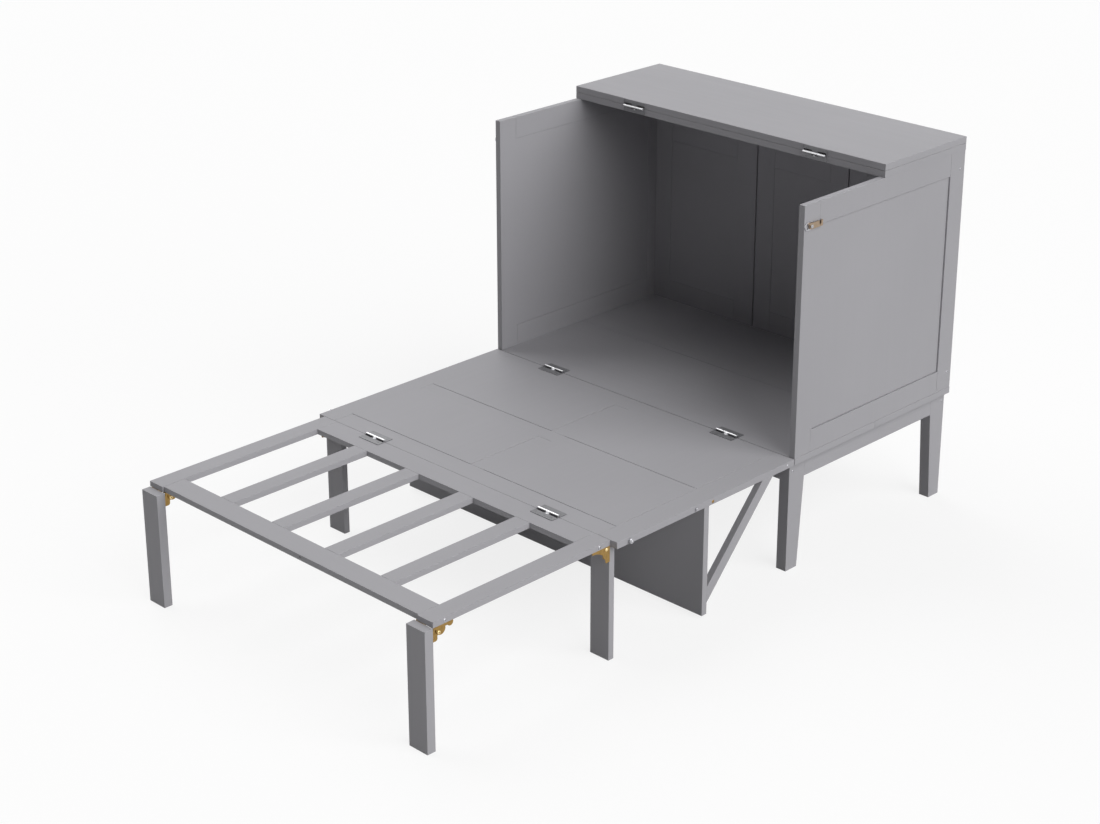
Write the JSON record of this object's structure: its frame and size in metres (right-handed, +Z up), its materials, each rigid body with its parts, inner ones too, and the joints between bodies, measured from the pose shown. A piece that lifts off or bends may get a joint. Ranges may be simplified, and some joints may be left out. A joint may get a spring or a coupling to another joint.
{
  "type": "cabinet bed",
  "caption": "Framed grey cabinet whose front folds down into a bed platform, with a hinged slatted foot frame on folding legs and a folding lid.",
  "frame": {"origin": "on the floor under the middle of the opened bed's box", "axes": "+X to the right seen from the foot end, +Y towards the cabinet, +Z up"},
  "size_m": [1.1202, 1.9474, 1.0505],
  "materials": {
    "grey_paint": "satin grey paint over wood",
    "dark_hinge": "dark leaves with bright knuckles",
    "grey_hinge": "grey leaves with bright knuckles",
    "bright_steel": "nickel plated",
    "yellow_brass": "satin brass"
  },
  "bodies": {
    "cabinet": {"deck_front_board": "grey_paint", "deck_rear_board": "grey_paint", "front_apron": "grey_paint", "rear_apron": "grey_paint", "left_apron": "grey_paint", "right_apron": "grey_paint", "front_left_leg": "grey_paint", "front_right_leg": "grey_paint", "rear_left_leg": "grey_paint", "rear_right_leg": "grey_paint", "left_side_frame": "grey_paint", "left_side_panel": "grey_paint", "right_side_frame": "grey_paint", "right_side_panel": "grey_paint", "back_left_frame": "grey_paint", "back_centre_frame": "grey_paint", "back_right_frame": "grey_paint", "back_panels": "grey_paint", "rear_lid": "grey_paint", "lid_hinge_pin_leaves": "dark_hinge", "deck_hinge_pin_leaves": "dark_hinge", "cabinet_screws": "bright_steel", "left_latch_plate": "bright_steel", "right_latch_plate": "bright_steel"},
    "folding_lid": {"front_lid": "grey_paint", "lid_hinge_sleeve_leaves": "dark_hinge"},
    "folding_front": {"platform_stiles": "grey_paint", "platform_rails": "grey_paint", "platform_panel_rear_left": "grey_paint", "platform_panel_rear_right": "grey_paint", "platform_panel_front_left": "grey_paint", "platform_panel_front_right": "grey_paint", "deck_hinge_sleeve_leaves": "dark_hinge", "foot_hinge_pin_leaves": "grey_hinge", "shelf_panel": "grey_paint", "left_brace": "grey_paint", "right_brace": "grey_paint", "platform_studs": "bright_steel", "shelf_screws": "yellow_brass"},
    "foot_frame": {"foot_hinge_sleeve_leaves": "grey_hinge", "foot_frame_left_rail": "grey_paint", "foot_frame_right_rail": "grey_paint", "foot_frame_foot_rail": "grey_paint", "foot_frame_head_rail": "grey_paint", "slats": "grey_paint", "foot_frame_bolts": "bright_steel", "foot_leg_brackets": "yellow_brass", "middle_leg_brackets": "yellow_brass"},
    "foot_left_leg": {"foot_left_leg": "grey_paint", "foot_left_leg_arm": "yellow_brass"},
    "foot_right_leg": {"foot_right_leg": "grey_paint", "foot_right_leg_arm": "yellow_brass"},
    "middle_left_leg": {"middle_left_leg": "grey_paint", "middle_left_leg_arm": "yellow_brass"},
    "middle_right_leg": {"middle_right_leg": "grey_paint", "middle_right_leg_arm": "yellow_brass"},
    "left_latch_lever": {"left_latch_lever": "yellow_brass"},
    "right_latch_lever": {"right_latch_lever": "yellow_brass"}
  },
  "joints": [
    {"name": "lid_fold", "type": "hinge", "parent": "cabinet", "child": "folding_lid", "pos_m": [0, 0.61395, 1.0325], "axis": [1, 0, 0], "range_deg": [0, 180]},
    {"name": "front_fold", "type": "hinge", "parent": "cabinet", "child": "folding_front", "pos_m": [0, 0.29275, 0.3338], "axis": [-1, 0, 0], "range_deg": [0, 90]},
    {"name": "foot_frame_fold", "type": "hinge", "parent": "folding_front", "child": "foot_frame", "pos_m": [0, -0.37545, 0.3338], "axis": [-1, 0, 0], "range_deg": [0, 180]},
    {"name": "foot_left_leg_fold", "type": "hinge", "parent": "foot_frame", "child": "foot_left_leg", "pos_m": [-0.497, -0.92875, 0.297], "axis": [1, 0, 0], "range_deg": [0, 90]},
    {"name": "foot_right_leg_fold", "type": "hinge", "parent": "foot_frame", "child": "foot_right_leg", "pos_m": [0.497, -0.92875, 0.297], "axis": [1, 0, 0], "range_deg": [0, 90]},
    {"name": "middle_left_leg_fold", "type": "hinge", "parent": "foot_frame", "child": "middle_left_leg", "pos_m": [-0.4937, -0.38715, 0.308], "axis": [-1, 0, 0], "range_deg": [0, 90]},
    {"name": "middle_right_leg_fold", "type": "hinge", "parent": "foot_frame", "child": "middle_right_leg", "pos_m": [0.4937, -0.38715, 0.308], "axis": [-1, 0, 0], "range_deg": [0, 90]},
    {"name": "left_latch_turn", "type": "hinge", "parent": "cabinet", "child": "left_latch_lever", "pos_m": [-0.5538, 0.31475, 0.958], "axis": [1, 0, 0], "range_deg": [0, 180]},
    {"name": "right_latch_turn", "type": "hinge", "parent": "cabinet", "child": "right_latch_lever", "pos_m": [0.5538, 0.31475, 0.958], "axis": [1, 0, 0], "range_deg": [0, 180]}
  ]
}
